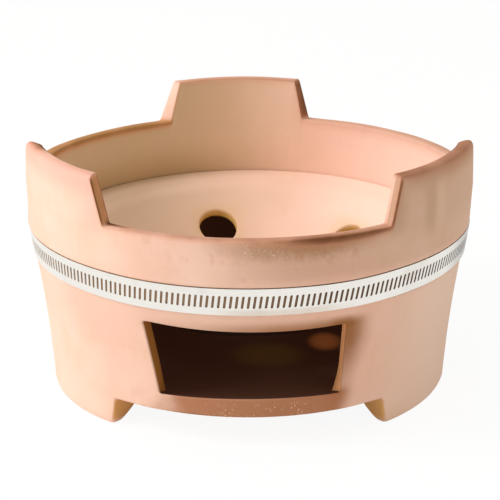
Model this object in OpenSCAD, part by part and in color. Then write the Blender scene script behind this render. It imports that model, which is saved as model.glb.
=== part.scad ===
// Charcoal brazier: a round fired-clay stove with three pot rests on its rim, a draught door,
// three feet, a loose perforated fire bowl, and a perforated steel strip clamped round its waist.
// Millimetres. +Z is up and -Y is the front. The origin is on the table, on the stove's axis.
// An azimuth is an angle in degrees seen from above: 0 is the front, 90 is the right (+X).

/* [Clay body] */
// Outer diameter at the rim
rim_d = 262.6; // [240:0.2:290]
// Height of the rim above the table
rim_h = 123; // [112:0.5:140]
// Thickness of the wall at the rim and round the ash chamber
wall_t = 8.5; // [7.5:0.1:10]
// Outer diameter of the wall just above the strip
waist_d = 260.2; // [258.6:0.2:261.6]
// Outer diameter of the wall just above the feet
foot_d = 235.8; // [220:0.2:250]
// How far the lower wall is hollowed, half-way up
wall_hollow = 0.9; // [0:0.1:2]
// Height of the underside of the base above the table
base_z = 18; // [16:0.5:21]
// Thickness of the base
base_t = 7.5; // [6:0.5:9]

/* [Pot rests] */
// Height of the pot rests above the rim
rest_h = 26.6; // [18:0.2:36]
// Width of a pot rest at its top, round the outside of the wall
rest_top_w = 83.4; // [60:0.2:95]
// Width of a pot rest at the rim, round the outside of the wall
rest_base_w = 104; // [98:0.5:112]
// Width of the flat top edge, across the wall
rest_flat_w = 1.6; // [1:0.1:2.4]

/* [Feet] */
// Width of the foot ring, across the wall
foot_ring_w = 21; // [16:0.5:26]
// Height of the gaps between the feet
foot_gap_h = 17; // [10:0.5:17.5]
// Width of each gap between two feet, in degrees
foot_gap_angle = 81; // [60:0.5:88]
// Lean of the feet's ends from the vertical, in degrees
foot_lean = 8; // [0:1:15]

/* [Draught door] */
// Height of the door's sill above the table
door_sill_z = 28; // [26:0.5:34]
// Height of the door opening
door_h = 42.5; // [30:0.5:44]
// Width of the door opening, in degrees
door_angle = 51.3; // [36:0.1:60]
// Lean of the left jamb from the vertical, in degrees
door_lean = 9; // [0:0.5:12]

/* [Fire bowl] */
// Height of the ledge that carries the fire bowl
ledge_z = 81; // [78:0.5:84]
// Width of that ledge
ledge_w = 6.1; // [4.5:0.1:8]
// Thickness of the bowl
bowl_t = 6.5; // [5:0.5:8]
// Depth from the top edge of the bowl to its floor
bowl_depth = 37; // [30:0.5:40]
// Slope of the bowl's lip, in degrees
lip_slope = 20; // [12:0.5:26]
// Slope of the bowl's side, in degrees
side_slope = 38; // [34:0.5:42]
// Width of the lip, across the wall
lip_w = 14.6; // [10:0.1:18]
// Diameter of the air holes
hole_d = 24; // [14:0.5:26]
// Number of air holes in the sloping side
hole_n = 6; // [4:1:7]
// Lean of the air holes towards the middle, in degrees
hole_lean = 22; // [0:1:30]

/* [Clamp strip] */
// Outer diameter of the clay under the middle of the strip
seat_d = 255.4; // [253:0.2:257]
// Height of the middle of the strip above the table
strip_z = 88.6; // [87:0.2:92]
// Lean of the wall under the strip, in degrees
seat_lean = 8; // [5:0.2:11]
// Width of the strip
strip_w = 15.8; // [12.6:0.2:16]
// Thickness of the strip
strip_t = 0.7; // [0.5:0.05:0.9]
// Distance from slot to slot along the strip
slot_pitch = 3.175; // [2.8:0.005:3.6]
// Width of a slot
slot_w = 1.45; // [1.3:0.05:1.6]
// Length of a slot
slot_l = 7.4; // [6:0.1:9]
// Length of the strip's free end beyond the middle of the worm
tail_l = 54; // [40:0.5:80]

/* [Worm and housing] */
// Outer diameter of the worm's thread
worm_d = 9; // [8:0.1:10]
// Depth of the worm's thread
thread_h = 1.2; // [1:0.05:1.4]
// Length of the threaded part
worm_l = 15.4; // [12:0.1:16]
// Thickness of the pressed housing and of its saddle
sheet_t = 0.8; // [0.6:0.05:1]
// Length of the housing
housing_l = 20; // [19:0.5:26]
// Distance across the flats of the screw's head
head_af = 7; // [5.5:0.1:7.4]
// Length of the screw's hexagonal head
head_l = 4.6; // [3:0.1:7]

/* [Clearances] */
// Gap between the fire bowl and the wall
bowl_gap = 0.6; // [0.4:0.1:1]
// Gap under the fire bowl's lip
seat_gap = 0.2; // [0.1:0.05:0.3]
// Gap between steel pieces that lie on each other
lay_gap = 0.1; // [0.05:0.05:0.2]
// Gap between pieces that slide past each other
slide_gap = 0.35; // [0.3:0.05:0.5]
// Radial clearance of the worm's journals
journal_gap = 0.08; // [0.04:0.01:0.1]

/* [Hidden] */
$fn = 96;

clay_colour = [0.95, 0.78, 0.65];
bowl_colour = [0.98, 0.84, 0.72];
steel_colour = [0.88, 0.88, 0.87];
screw_colour = [0.7, 0.7, 0.7];

big = 2 * rim_d;
arc_steps = 6;

// Rounded edges of the clay
foot_round = 4;
foot_inner_round = 6;
rim_inner_round = 2.5;
rim_outer_round = 3;
rest_inner_round = 2.6;
chamber_round = 5;

// Outside of the clay body
rim_r = rim_d / 2;
foot_r = foot_d / 2;
seat_r = seat_d / 2;
seat_half = strip_w / 2 + 0.9;
waist_step_h = 0.4;
wall_steps = 6;
top_z = rim_h + rest_h;

// Point on a section through the strip: n outwards from the clay, s up along the wall
function strip_point(n, s) = [seat_r + n * cos(seat_lean) + s * sin(seat_lean),
                              strip_z - n * sin(seat_lean) + s * cos(seat_lean)];
seat_low = strip_point(0, -seat_half);
seat_high = strip_point(0, seat_half);

// Radius of the wall's outside at a height between the feet and the strip
function lower_wall_r(z) = let (t = (z - foot_round) / (seat_low[1] - foot_round))
    foot_r + (seat_low[0] - foot_r) * t - 4 * wall_hollow * t * (1 - t);

// Inside of the clay body
rim_in_r = rim_r - wall_t;
floor_z = base_z + base_t;
well_wall_t = 5.3;
well_low_r = seat_r - (strip_z - ledge_z) * tan(seat_lean) - well_wall_t;
ledge_in_r = well_low_r - ledge_w;
corbel_h = 9.5;
corbel_z = ledge_z - corbel_h;
function chamber_r(z) = lower_wall_r(z) - wall_t;
function well_r(z) = well_low_r + (rim_in_r - well_low_r) * (z - ledge_z) / (rim_h - rim_inner_round - ledge_z);

// Pot rests: azimuth of each middle, and how far each was cut wider or narrower than drawn
rest_places = [-59.7, 58.7, 183.9];
rest_top_trims = [1.2, 6.2, 0.4];
rest_base_trims = [1.4, 2.4, -5.5];
// How far the middle of each rest's top was cut round from the middle of its base, in degrees
rest_top_turns = [1.1, -0.6, -0.3];
function arc_angle(length, r) = length / r * 180 / PI;
function rest_half(width) = arc_angle(width / 2, rim_r);

// Fire bowl
bowl_low_r = well_low_r - bowl_gap;
bowl_edge_z = ledge_z + seat_gap + bowl_t;
bowl_edge_r = well_r(bowl_edge_z) - bowl_gap;
bowl_edge_round = 1.2;
lip_r = bowl_edge_r - lip_w;
lip_z = bowl_edge_z - lip_w * tan(lip_slope);
bowl_floor_z = bowl_edge_z - bowl_depth;
bowl_floor_r = lip_r - (lip_z - bowl_floor_z) / tan(side_slope);
bowl_side_drop = bowl_t / cos(side_slope);
locating_r = ledge_in_r - 1.7;
side_under_r = locating_r - 2.3;
bowl_under_z = bowl_floor_z - bowl_t;
function side_z(r) = lip_z - (lip_r - r) * tan(side_slope);
bowl_under_r = lip_r - (lip_z - bowl_side_drop - bowl_under_z) / tan(side_slope);
hole_ring_r = (lip_r + bowl_floor_r) / 2 - 5.2;
hole_start = 14.7;

// Clamp: heights above the clay, measured outwards
clamp_azimuth = 180;
hoop_n = lay_gap;
saddle_n = hoop_n + strip_t + lay_gap;
tail_n = saddle_n + sheet_t + slide_gap;
tail_top_n = tail_n + strip_t;
thread_bite = 0.55;
worm_r = worm_d / 2;
axis_n = tail_top_n - thread_bite + worm_r;
worm_core_r = worm_r - thread_h;
cavity_r = worm_r + slide_gap;
barrel_r = cavity_r + sheet_t;
shoulder_n = tail_top_n + slide_gap + 0.05;
housing_half_w = strip_w / 2 + slide_gap + sheet_t;
end_wall_t = 1.8;
neck_r = worm_core_r - 0.3;
pilot_r = worm_core_r - 1.5;
collar_r = worm_core_r + 0.6;
collar_t = 1.2;
driver_slot_w = 1.2;
driver_slot_h = 1.6;
tail_r = seat_r + (tail_n + strip_t / 2) * cos(seat_lean);
tail_step = arc_angle(slot_pitch, tail_r);
tail_root_l = housing_l / 2 - 1.8;
tail_corner = 3;
hoop_r = seat_r + (hoop_n + strip_t / 2) * cos(seat_lean);
hoop_slots = round(2 * PI * hoop_r / slot_pitch);
slot_lean = atan(slot_pitch / (2 * PI * (worm_r - thread_bite / 2)));
thread_crest_w = 0.8;
thread_root_w = 1.7;
thread_steps = 20;

// Points of an arc round [x, y], from angle a to angle b
function arc_points(x, y, r, a, b) =
    [for (i = [0 : arc_steps]) let (t = a + (b - a) * i / arc_steps) [x + r * cos(t), y + r * sin(t)]];

// Turns a piece drawn along +X to an azimuth
module at_azimuth(azimuth) rotate([0, 0, azimuth - 90]) children();

// Frame on the strip's seat: +X outwards, +Y to a greater azimuth, +Z up along the wall
module on_strip(azimuth)
    at_azimuth(azimuth) translate([seat_r, 0, strip_z]) rotate([0, seat_lean, 0]) children();

// Everything on one side of a plane through a horizontal radius at height z; side is 1 or -1
module beyond(azimuth, z, lean, side)
    at_azimuth(azimuth) translate([0, 0, z]) rotate([lean, 0, 0])
        translate([0, side > 0 ? 0 : -big, -big / 2]) cube(big);

// Wedge between two such planes; the leans are given as the opening widens upwards
module wedge(from, to, z, lean_from, lean_to)
    intersection() {
        beyond(from, z, lean_from, 1);
        beyond(to, z, -lean_to, -1);
    }

// Section through the clay at its full height
module body_section()
    polygon(concat(
        [[0, base_z], [foot_r - foot_ring_w, base_z]],
        arc_points(foot_r - foot_ring_w + foot_inner_round, foot_inner_round, foot_inner_round, 180, 270),
        arc_points(foot_r - foot_round, foot_round, foot_round, -90, 0),
        [for (i = [1 : wall_steps - 1])
            let (z = foot_round + (seat_low[1] - foot_round) * i / wall_steps) [lower_wall_r(z), z]],
        [seat_low, seat_high, [waist_d / 2, seat_high[1] + waist_step_h], [rim_r, rim_h - rim_outer_round]],
        arc_points(rim_in_r + rest_inner_round + rest_flat_w, top_z - rest_outer_round(),
                   rest_outer_round(), 0, 90),
        arc_points(rim_in_r + rest_inner_round, top_z - rest_inner_round, rest_inner_round, 90, 180),
        [[rim_in_r, rim_h - rim_inner_round], [well_low_r, ledge_z], [ledge_in_r, ledge_z],
         [chamber_r(corbel_z), corbel_z]],
        arc_points(chamber_r(floor_z + chamber_round) - chamber_round, floor_z + chamber_round,
                   chamber_round, 0, -90),
        [[0, floor_z]]));
function rest_outer_round() = wall_t - rest_inner_round - rest_flat_w;

// Section of what is cut away above the rounded rim
module notch_section()
    polygon(concat(
        [[well_low_r - wall_t, top_z + wall_t], [well_low_r - wall_t, rim_h - rim_inner_round]],
        arc_points(rim_in_r + rim_inner_round, rim_h - rim_inner_round, rim_inner_round, 180, 90),
        arc_points(rim_r - rim_outer_round, rim_h - rim_outer_round, rim_outer_round, 90, 0),
        [[rim_r + wall_t, rim_h - rim_outer_round], [rim_r + wall_t, top_z + wall_t]]));

// Notch between one pot rest and the next
module notch(i) {
    j = (i + 1) % len(rest_places);
    next_place = rest_places[j] + (j == 0 ? 360 : 0);
    top_i = rest_half(rest_top_w + rest_top_trims[i]);
    base_i = rest_half(rest_base_w + rest_base_trims[i]);
    top_j = rest_half(rest_top_w + rest_top_trims[j]);
    base_j = rest_half(rest_base_w + rest_base_trims[j]);
    turn_i = rest_top_turns[i];
    turn_j = rest_top_turns[j];
    intersection() {
        rotate_extrude() notch_section();
        wedge(rest_places[i] + (top_i + turn_i + base_i) / 2, next_place - (top_j - turn_j + base_j) / 2,
              rim_h + rest_h / 2,
              atan((base_i - top_i - turn_i) * PI / 180 * rim_r / rest_h),
              atan((base_j - top_j + turn_j) * PI / 180 * rim_r / rest_h));
    }
}

module door_cut()
    intersection() {
        wedge(-door_angle / 2, door_angle / 2, door_sill_z + door_h / 2, door_lean, 0);
        translate([0, 0, door_sill_z]) cylinder(r = rim_r + wall_t, h = door_h);
    }

module foot_gap(azimuth)
    intersection() {
        wedge(azimuth - foot_gap_angle / 2, azimuth + foot_gap_angle / 2, 0, -foot_lean, -foot_lean);
        translate([0, 0, -1]) cylinder(r = rim_r, h = foot_gap_h + 1);
    }

// The fired body: wall, base, foot ring, ledge and pot rests are one piece of clay
module clay_body()
    color(clay_colour)
    difference() {
        rotate_extrude() body_section();
        for (i = [0 : len(rest_places) - 1]) notch(i);
        door_cut();
        for (azimuth = [0, 120, 240]) foot_gap(azimuth);
    }

module bowl_section()
    polygon(concat(
        [[0, bowl_under_z], [bowl_under_r, bowl_under_z],
         [side_under_r, side_z(side_under_r) - bowl_side_drop], [locating_r, ledge_z + seat_gap],
         [bowl_low_r, ledge_z + seat_gap]],
        arc_points(bowl_edge_r - bowl_edge_round, bowl_edge_z - bowl_edge_round, bowl_edge_round, 0, 90),
        [[lip_r, lip_z], [bowl_floor_r, bowl_floor_z], [0, bowl_floor_z]]));

// The loose dish that holds the charcoal, with a ring of air holes and one in the middle
module fire_bowl()
    color(bowl_colour)
    difference() {
        rotate_extrude() bowl_section();
        for (i = [0 : hole_n - 1])
            at_azimuth(hole_start + i * 360 / hole_n)
                translate([hole_ring_r, 0, side_z(hole_ring_r)]) rotate([0, -hole_lean, 0])
                    cylinder(d = hole_d, h = 6 * bowl_t, center = true);
        translate([0, 0, bowl_under_z - bowl_t]) cylinder(d = hole_d, h = 3 * bowl_t);
    }

// Section of a layer of strip whose inside is at n
module strip_section(n, half_w, t)
    polygon([strip_point(n, -half_w), strip_point(n + t, -half_w), strip_point(n + t, half_w),
             strip_point(n, half_w)]);

// Part of a ring between two azimuths
module strip_arc(from, to, n, half_w, t)
    at_azimuth(from) rotate_extrude(angle = to - from) strip_section(n, half_w, t);

module slot(azimuth, n)
    on_strip(azimuth) translate([n + strip_t / 2, 0, 0]) rotate([-slot_lean, 0, 0])
        cube([3 * strip_t, slot_w, slot_l], center = true);

// The strip's first turn, which grips the clay
module hoop_band()
    color(steel_colour)
    difference() {
        rotate_extrude() strip_section(hoop_n, strip_w / 2, strip_t);
        for (i = [0 : hoop_slots - 1]) slot(clamp_azimuth + i * 360 / hoop_slots, hoop_n);
    }

// The strip's free end, which the worm draws over the first turn
module band_tail() {
    tip = arc_angle(tail_l, tail_r);
    root = arc_angle(tail_root_l, tail_r);
    color(steel_colour)
    difference() {
        strip_arc(clamp_azimuth - tip, clamp_azimuth + root, tail_n, strip_w / 2, strip_t);
        for (i = [-floor(tip / tail_step - 1) : floor(root / tail_step - 0.5)])
            slot(clamp_azimuth + i * tail_step, tail_n);
        for (s = [-1, 1])
            on_strip(clamp_azimuth - tip) translate([tail_n, 0, s * strip_w / 2]) rotate([45, 0, 0])
                cube([4 * strip_t, tail_corner * sqrt(2), tail_corner * sqrt(2)], center = true);
    }
}

// Curved plate welded to the first turn, under the housing
module housing_saddle() {
    half = arc_angle(housing_l / 2 + 0.6, seat_r);
    color(steel_colour)
        strip_arc(clamp_azimuth - half, clamp_azimuth + half, saddle_n, housing_half_w, sheet_t);
}

// Cylinder along the worm's axis, between two places along it
module along_worm(r, from, to)
    translate([axis_n, from, 0]) rotate([-90, 0, 0]) cylinder(r = r, h = to - from);

// Pressed cover that holds the worm down on the strip
module screw_housing() {
    wall_low_n = saddle_n + sheet_t + lay_gap;
    color(steel_colour)
    on_strip(clamp_azimuth)
    difference() {
        union() {
            intersection() {
                along_worm(barrel_r, -housing_l / 2, housing_l / 2);
                translate([shoulder_n, -housing_l, -barrel_r]) cube([big, 2 * housing_l, 2 * barrel_r]);
            }
            translate([shoulder_n, -housing_l / 2, -housing_half_w])
                cube([sheet_t, housing_l, 2 * housing_half_w]);
            for (s = [-1, 1])
                translate([wall_low_n, -housing_l / 2, s > 0 ? housing_half_w - sheet_t : -housing_half_w])
                    cube([shoulder_n + sheet_t - wall_low_n, housing_l, sheet_t]);
        }
        along_worm(cavity_r, -housing_l / 2 + end_wall_t, housing_l / 2 - end_wall_t);
        along_worm(neck_r + journal_gap, -housing_l, 0);
        along_worm(pilot_r + journal_gap, 0, housing_l);
    }
}

// One ring of the thread's section, at an angle along the helix; the root is sunk in the core
function thread_ring(a) = [for (p = [[worm_core_r - 0.3, -thread_root_w / 2], [worm_r, -thread_crest_w / 2],
                                     [worm_r, thread_crest_w / 2], [worm_core_r - 0.3, thread_root_w / 2]])
    [-p[0] * cos(a), slot_pitch * a / 360 + p[1], p[0] * sin(a)]];

module thread() {
    turns = (worm_l - thread_root_w) / slot_pitch;
    rings = ceil(turns * thread_steps);
    points = [for (i = [0 : rings]) each thread_ring(360 * turns * (i / rings - 0.5))];
    sides = [for (i = [0 : rings - 1], k = [0 : 3]) let (m = (k + 1) % 4)
        each [[4 * i + k, 4 * i + m, 4 * i + 4 + k], [4 * i + m, 4 * i + 4 + m, 4 * i + 4 + k]]];
    ends = [[3, 2, 1, 0], [4 * rings, 4 * rings + 1, 4 * rings + 2, 4 * rings + 3]];
    translate([axis_n, 0, 0]) polyhedron(points, concat(sides, ends));
}

// The worm: threaded core, journals, collar and slotted hexagonal head
module worm_screw() {
    head_start = -housing_l / 2 - slide_gap - collar_t;
    core_half = housing_l / 2 - end_wall_t - slide_gap;
    color(screw_colour)
    on_strip(clamp_azimuth)
    difference() {
        union() {
            along_worm(worm_core_r, -core_half, core_half);
            along_worm(neck_r, head_start, 0);
            along_worm(pilot_r, 0, housing_l / 2 + 0.4);
            along_worm(collar_r, head_start, head_start + collar_t);
            translate([axis_n, head_start - head_l, 0]) rotate([-90, 0, 0])
                cylinder(r = head_af / sqrt(3), h = head_l, $fn = 6);
            thread();
        }
        translate([axis_n, head_start - head_l, 0])
            cube([2 * head_af, 2 * driver_slot_h, driver_slot_w], center = true);
    }
}

clay_body();
fire_bowl();
hoop_band();
band_tail();
housing_saddle();
screw_housing();
worm_screw();
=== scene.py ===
import math

import bmesh
import bpy
from mathutils import Matrix, Vector, noise


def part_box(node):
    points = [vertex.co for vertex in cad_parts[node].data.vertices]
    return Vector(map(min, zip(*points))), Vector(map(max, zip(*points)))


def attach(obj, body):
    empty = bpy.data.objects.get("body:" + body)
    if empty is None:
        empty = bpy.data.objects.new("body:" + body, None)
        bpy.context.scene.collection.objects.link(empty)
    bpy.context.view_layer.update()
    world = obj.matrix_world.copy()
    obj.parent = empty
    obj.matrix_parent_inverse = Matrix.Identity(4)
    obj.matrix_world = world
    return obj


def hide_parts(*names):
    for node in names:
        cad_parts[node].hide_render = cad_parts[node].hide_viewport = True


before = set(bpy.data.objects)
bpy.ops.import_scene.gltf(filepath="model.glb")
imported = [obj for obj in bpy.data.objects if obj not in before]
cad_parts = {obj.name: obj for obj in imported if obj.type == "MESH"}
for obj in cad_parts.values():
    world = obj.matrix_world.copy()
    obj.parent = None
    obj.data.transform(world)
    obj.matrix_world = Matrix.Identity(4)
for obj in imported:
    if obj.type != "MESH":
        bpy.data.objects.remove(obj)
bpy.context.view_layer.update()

# ---- Clay body -------------------------------------------------
# The stove itself: wall, base, foot ring, ledge and three pot rests in one piece of pale fired
# clay. It is pressed in a mould, the rests, door and feet are cut by hand while the clay is
# leather-hard, and every cut edge is wiped soft. It is drawn in millimetres, as the source is.

MM = 0.001
clay_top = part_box("clay_body")[1] / MM
rim_r = clay_top.x
rest_top_z = clay_top.z
rim_z = 123.0
wall_t = 8.5
rim_in_r = rim_r - wall_t
base_z = 18.0
floor_z = 25.5
foot_r = 117.9
foot_ring_w = 21.0
foot_inner_r = foot_r - foot_ring_w
foot_mid_r = 108.0
gap_z = 17.0
foot_lean = 1.6
wall_start_z = 4.0
wall_hollow = 4.2
rim_out_drop = 3.0
rim_in_drop = 2.5
strip_z = 88.6
seat_r = 127.7
seat_lean = math.radians(8)
seat_half = 8.25
waist_r = 130.1
ledge_z = 81.0
well_low_r = 121.33
ledge_in_r = 115.23
sill_z = 28.0
lintel_z = 70.5
door_left = -25.85
door_right = 24.95
door_mid_z = 49.3
door_steps = 4
door_edge = 0.8
corner_angle = 0.6
jamb_lean = 0.075
inner_turn = 0.9
sill_fall = 2.6
crown_azimuth = 183.5
crown_reach = 18.0
crown_drop = 0.5
crown_fall = 1.1
hand_wobble = 0.22
hand_wave = 38.0
knife_wobble = 0.2
knife_wave = 6.0
knife_seed = 3
flat_side = 1.1
foot_bulge = 1.2

# Each end of a pot rest: azimuth at the rim and at its top, azimuth of the foot's end below it,
# the side on which the rest lies, and how much farther round the inner edge of the cut is than
# the outer one, at the rim and at the top. Azimuth 0 is the front and 90 the right.
rest_ends = (
    (-153.8, -158.4, -158.9, -1, -2.0, -0.5),
    (-83.0, -77.1, -81.1, 1, 1.5, 3.6),
    (-36.4, -40.0, -38.9, -1, -0.9, -1.4),
    (35.5, 38.3, 38.9, 1, 0.6, 0.7),
    (82.0, 77.8, 81.1, -1, -1.0, -2.6),
    (162.4, 165.4, 158.9, 1, 1.1, 0.4),
)
columns_between_rests = (9, 10, 10)
columns_in_rest = 4
beside_jamb = 3.4

# The third of the ends above starts the gap that lies over the door
front_end = 2
corner_reach = 1.7
foot_reach = 4.4
far_reach = 4.0
mid_spread = 2.0
mm_per_degree = math.radians(rim_r)


def polar(r, azimuth, z):
    """A point at an azimuth in degrees, in millimetres."""
    angle = math.radians(azimuth)
    return Vector((r * math.sin(angle), -r * math.cos(angle), z))


def on_seat(outwards, up):
    """Radius and height of a point on the leaning seat of the strip."""
    return (seat_r + outwards * math.cos(seat_lean) + up * math.sin(seat_lean),
            strip_z - outwards * math.sin(seat_lean) + up * math.cos(seat_lean))


def soft_step(value, low, high):
    """0 at low and 1 at high, with soft ends; low may be the larger."""
    t = min(1.0, max(0.0, (value - low) / (high - low)))
    return t * t * (3 - 2 * t)


seat_low = on_seat(0, -seat_half)
seat_high = on_seat(0, seat_half)


def strip_rise(azimuth, z):
    """How far the strip and its seat lie off level at that place.

    The strip was drawn up a little askew: it climbs on the right and dips in the middle.
    """
    azimuth = (azimuth + 180) % 360 - 180
    right = soft_step(azimuth, 18, 42) * soft_step(azimuth, 115, 85)
    left = soft_step(azimuth, -14, -42) * soft_step(azimuth, -115, -85)
    middle = soft_step(abs(azimuth), 50, 25)
    top = 0.8 * right + 0.4 * left - 0.4 * middle
    bottom = 0.4 * right - 0.4 * middle
    up = (z - seat_low[1]) / (seat_high[1] - seat_low[1])
    return bottom + (top - bottom) * min(1.0, max(0.0, up))


def outer_r(z):
    """Radius of the wall's outside: hollowed a little below the strip, straight above it."""
    if z < seat_low[1]:
        t = (z - wall_start_z) / (seat_low[1] - wall_start_z)
        return foot_r + (seat_low[0] - foot_r) * t - wall_hollow * t * (1 - t)
    t = min(1, (z - seat_high[1]) / (rim_z - rim_out_drop - seat_high[1]))
    return waist_r + (rim_r - waist_r) * t


def well_r(z):
    """Radius of the inside above the ledge."""
    t = min(1, (z - ledge_z) / (rim_z - rim_in_drop - ledge_z))
    return well_low_r + (rim_in_r - well_low_r) * t


def chamber_r(z):
    """Radius of the ash chamber under the ledge."""
    return outer_r(z) - wall_t


class Column:
    """One upright line of the wall's mesh: where it meets the rim above and the feet below.

    share is 0 between the rests, 1 inside one and 0.5 on a cut end. The wiped edges have a
    radius and a hold, the depth at which the wall is straight again: rim outside and inside,
    then foot outside and inside. skew is how much farther round the rim's inner edge lies, and
    worn how much of the foot's inner corner is cut away.
    """

    def __init__(self, azimuth, top, top_in, low, low_in, share, radii, holds, skew=0.0, worn=0.0):
        self.azimuth = azimuth
        self.top, self.top_in = Vector(top), Vector(top_in)
        self.low, self.low_in = Vector(low), Vector(low_in)
        self.share, self.radii, self.holds = share, radii, holds
        self.skew, self.worn = skew, worn


def rim_height(azimuth):
    """The rim sags a little at the back and rises to the sides, more so on the left."""
    azimuth = (azimuth + 180) % 360 - 180
    away = abs(azimuth)
    rise = (1.0 if azimuth < 0 else 0.4) * soft_step(away, 122, 112) * soft_step(away, 60, 80)
    return rim_z + rise - 0.35 * soft_step(away, 122, 134) - 0.45 * soft_step(away, 145, 158)


def rest_height(azimuth):
    """The two front rests are level on top; the back one is crowned."""
    from_crown = abs(azimuth % 360 - crown_azimuth)
    if from_crown > 30:
        return rest_top_z
    return rest_top_z - (crown_drop + crown_fall * (from_crown / crown_reach) ** 2)


def plain_column(azimuth, share):
    """A column away from the cut ends."""
    radii = (3.8, 2.3, 2.2, 4.2) if share else (2.5, 1.9, 1.3, 0.35)
    holds = (7.6, 5.4, 8.0, 8.0) if share else (5.4, 4.4, 3.2, 0.7)
    top_z = rest_height(azimuth) if share else rim_height(azimuth)
    return Column(azimuth, (azimuth * mm_per_degree, top_z), (0, -1),
                  (azimuth * mm_per_degree, gap_z * (1 - share)), (0, 1), share, radii, holds)


def bend(first, second):
    """Direction that keeps its distance from both sides of a corner."""
    middle = (first + second).normalized()
    return middle / middle.dot(first)


def end_columns(rim_az, top_az, foot_az, side, rim_skew, top_skew):
    """The seven columns that follow a rest's cut end, from the rim side to the rest's side."""
    def path(start, finish, level_in, reach):
        """The points along the cut end, each with the way from there into the clay."""
        along = (finish - start).normalized()
        length = (finish - start).length
        across = Vector((side * abs(along.y), -abs(along.x) * (1 if along.y > 0 else -1)))
        points = (start - Vector((side * corner_reach, 0)), start, start + along * corner_reach,
                  start + along * length / 2, finish - along * reach, finish,
                  finish + Vector((side * reach, 0)))
        turned = bend(level_in, across)
        return zip(points, (level_in, turned, across, across, across, turned, level_in))

    far = 60 < abs(rim_az) < 120
    top = path(Vector((rim_az * mm_per_degree, rim_height(rim_az))),
               Vector((top_az * mm_per_degree, rest_height(top_az))), Vector((0, -1)),
               far_reach if far else corner_reach)
    low = path(Vector((foot_az * mm_per_degree, gap_z)),
               Vector(((foot_az + side * foot_lean) * mm_per_degree, 0)), Vector((0, 1)), foot_reach)
    middle = (rim_az + top_az) / 2
    shares = (0, 0, 0.5, 0.5, 0.5, 1, 1)
    radii = ((1.9, 1.4, 1.3, 0.35), (1.2, 0.9, 1.3, 0.4), (0.9, 0.7, 1.5, 1.0), (0.9, 0.7, 1.8, 1.2),
             (1.0, 0.8, 2.0, 1.4), (1.7, 1.3, 2.3, 1.6), (2.7, 1.9, 2.3, 2.0))
    holds = ((4.2, 3.6, 3.0, 0.7), (3.0, 2.8, 2.6, 0.75), (2.6, 2.4, 3.0, 2.0), (2.6, 2.4, 4.0, 2.4),
             (2.4, 2.2, 4.0, 2.6), (2.6, 2.2, 3.4, 2.6), (4.2, 3.2, 4.4, 3.4))
    worn = (0, 0, 0.0, 3.0, 8.0, 13.5, 13.0)
    if far:
        radii = radii[:4] + ((1.6, 1.2, 2.0, 1.4), (3.0, 2.0, 2.3, 1.6), (3.4, 2.2, 2.3, 2.0))
        holds = holds[:4] + ((3.4, 3.0, 4.0, 2.6), (3.6, 3.0, 3.4, 2.6), (6.4, 4.6, 4.4, 3.4))
    skews = [rim_skew + (top_skew - rim_skew) * t for t in (0, 0, 0.05, 0.5, 0.95, 1, 1)]
    return [Column(middle + side * mid_spread * (k - 3), t[0], t[1], w[0], w[1], shares[k], radii[k],
                   holds[k], skews[k], worn[k])
            for k, (t, w) in enumerate(zip(top, low))]


columns = []
for number, (end, following) in enumerate(zip(rest_ends, rest_ends[1:] + rest_ends[:1])):
    side = end[3]
    made = end_columns(*end)
    columns += made if side > 0 else made[::-1]
    start = end[1] if side > 0 else end[0]
    finish = following[1] if side > 0 else following[0]
    if finish < start:
        finish += 360
    count = columns_in_rest if side > 0 else columns_between_rests[number // 2]
    if number == front_end:
        spans = count - 3
        wanted = [door_left + (door_right - door_left) * i / spans for i in range(spans + 1)]
        wanted = [door_left - beside_jamb] + wanted + [door_right + beside_jamb]
        door_first = len(columns) + 1
        door_last = len(columns) + 1 + spans
    else:
        wanted = [start + (finish - start) * (i + 1) / (count + 1) for i in range(count)]
    columns += [plain_column(azimuth, 1 if side > 0 else 0) for azimuth in wanted]


def level(r, z):
    """A station at the same radius and height in every column."""
    return lambda c: (r, c.azimuth, z)


def outside(z):
    """A station on the wall's outside."""
    return lambda c: (outer_r(z), c.azimuth, z)


def inside(z):
    """A station on the wall of the ash chamber."""
    return lambda c: (chamber_r(z), c.azimuth, z)


def at_rim(across, deep, inner=False, hold=False):
    """A station along the rim's edge; across and deep are in radii of that edge, or in holds."""
    def place(c):
        radius = c.radii[1 if inner else 0]
        depth = c.holds[1 if inner else 0] if hold else deep * radius
        x, z = c.top + c.top_in * depth
        r = well_r(z) + across * radius if inner else outer_r(z) - across * radius
        return r, x / mm_per_degree + (c.skew if inner else 0), z
    return place


def at_foot(across, deep, inner=False, hold=False):
    """A station along the foot's edge, in the same way."""
    def place(c):
        radius = c.radii[3 if inner else 2]
        depth = c.holds[3 if inner else 2] if hold else deep * radius
        x, z = c.low + c.low_in * depth
        r = foot_inner_r + c.worn + across * radius if inner else outer_r(z) - across * radius
        return r, x / mm_per_degree, z
    return place


def halfway(first, second, t=0.5):
    """A station between two others."""
    return lambda c: tuple(a + (b - a) * t for a, b in zip(first(c), second(c)))


# A round edge is drawn by three points, the middle one on_arc of its radius from either side
on_arc = 0.29
floor_round = 5.0
above_foot_z = 23.6
above_strip_z = 105.0
corner_in_r = chamber_r(floor_z + floor_round) - floor_round
under_edge = level(foot_inner_r, base_z)
foot_in = at_foot(0, 0, inner=True, hold=True)
foot_out = at_foot(0, 0, hold=True)
rim_out = at_rim(0, 0, hold=True)
rim_in = at_rim(0, 0, inner=True, hold=True)
well_middle = level(well_r(above_strip_z), above_strip_z)
door_rows = [sill_z + (lintel_z - sill_z) * i / door_steps for i in range(door_steps + 1)]

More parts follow.
